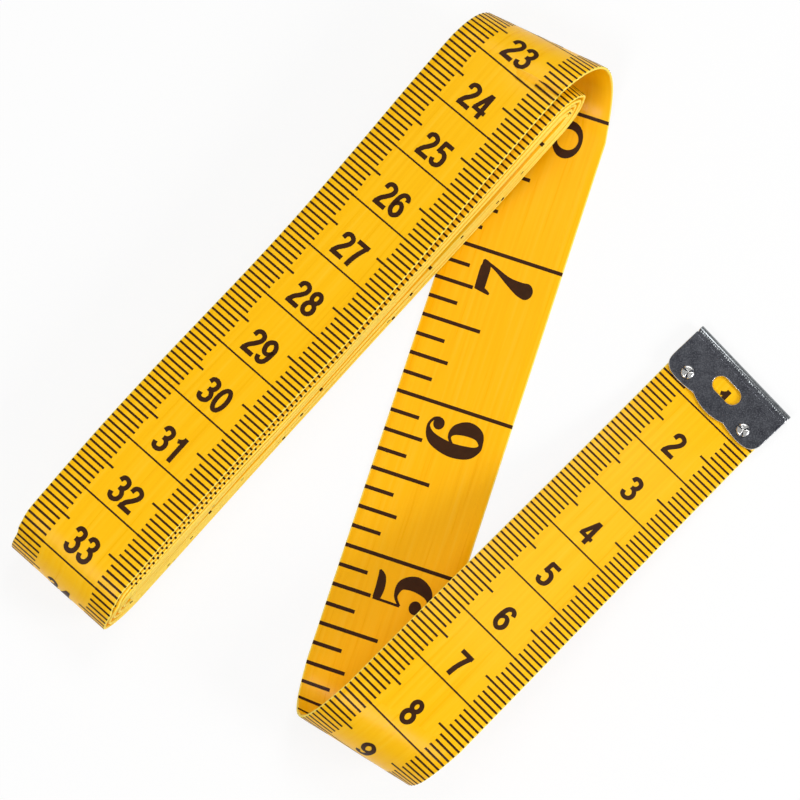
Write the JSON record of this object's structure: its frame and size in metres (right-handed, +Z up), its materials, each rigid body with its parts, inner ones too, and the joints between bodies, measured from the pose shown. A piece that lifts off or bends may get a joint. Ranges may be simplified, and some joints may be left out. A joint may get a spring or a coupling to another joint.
{
  "type": "cloth tape measure",
  "caption": "Flexible tailor's tape measure put away: part wound flat into a hank, the rest folded in a zigzag to a free end with a riveted metal clip; printed scales on both faces.",
  "frame": {"origin": "on the underside of the middle leg, on its centre line, where its scale reads six inches", "axes": "+Z up from the table, +X to the right and +Y away from the near fold in the picture's plan view"},
  "size_m": [0.12, 0.1188, 0.0167],
  "materials": {
    "tape": "semi-gloss plastic-coated glass cloth",
    "clip": "nickel-plated sheet steel, satin",
    "rivet": "nickel-plated, bright"
  },
  "bodies": {
    "middle": {"middle_leg": "tape"},
    "lower_link_1": {"lower_fold_1": "tape"},
    "lower_link_2": {"lower_fold_2": "tape"},
    "free_end": {"free_leg": "tape", "zero_clip": "clip", "zero_rivet_left": "rivet", "zero_rivet_right": "rivet"},
    "upper_link_1": {"upper_bend_1": "tape"},
    "upper_link_2": {"upper_bend_2": "tape"},
    "hank": {"hank_winding": "tape", "far_clip": "clip", "far_rivet_left": "rivet", "far_rivet_right": "rivet"}
  },
  "joints": [
    {"name": "lower_fold_near_turn", "type": "hinge", "parent": "middle", "child": "lower_link_1", "pos_m": [-0.01532, -0.0481, 0.00128], "axis": [0.8493, -0.5278, 0], "range_deg": [0, 60]},
    {"name": "lower_fold_mid_turn", "type": "hinge", "parent": "lower_link_1", "child": "lower_link_2", "pos_m": [-0.0153, -0.05275, 0.0081], "axis": [0.8493, -0.5278, 0], "range_deg": [0, 60]},
    {"name": "lower_fold_far_turn", "type": "hinge", "parent": "lower_link_2", "child": "free_end", "pos_m": [-0.01112, -0.05071, 0.01492], "axis": [0.8493, -0.5278, 0], "range_deg": [0, 60]},
    {"name": "upper_bend_near_turn", "type": "hinge", "parent": "middle", "child": "upper_link_1", "pos_m": [0.01589, 0.0512, 0.00125], "axis": [-0.884, 0.4675, -0.0067], "range_deg": [0, 60]},
    {"name": "upper_bend_mid_turn", "type": "hinge", "parent": "upper_link_1", "child": "upper_link_2", "pos_m": [0.01523, 0.05596, 0.00788], "axis": [-0.8942, 0.4449, -0.0496], "range_deg": [0, 60]},
    {"name": "upper_bend_far_turn", "type": "hinge", "parent": "upper_link_2", "child": "hank", "pos_m": [0.01083, 0.05404, 0.01451], "axis": [-0.8802, 0.4656, -0.0923], "range_deg": [0, 60]}
  ]
}
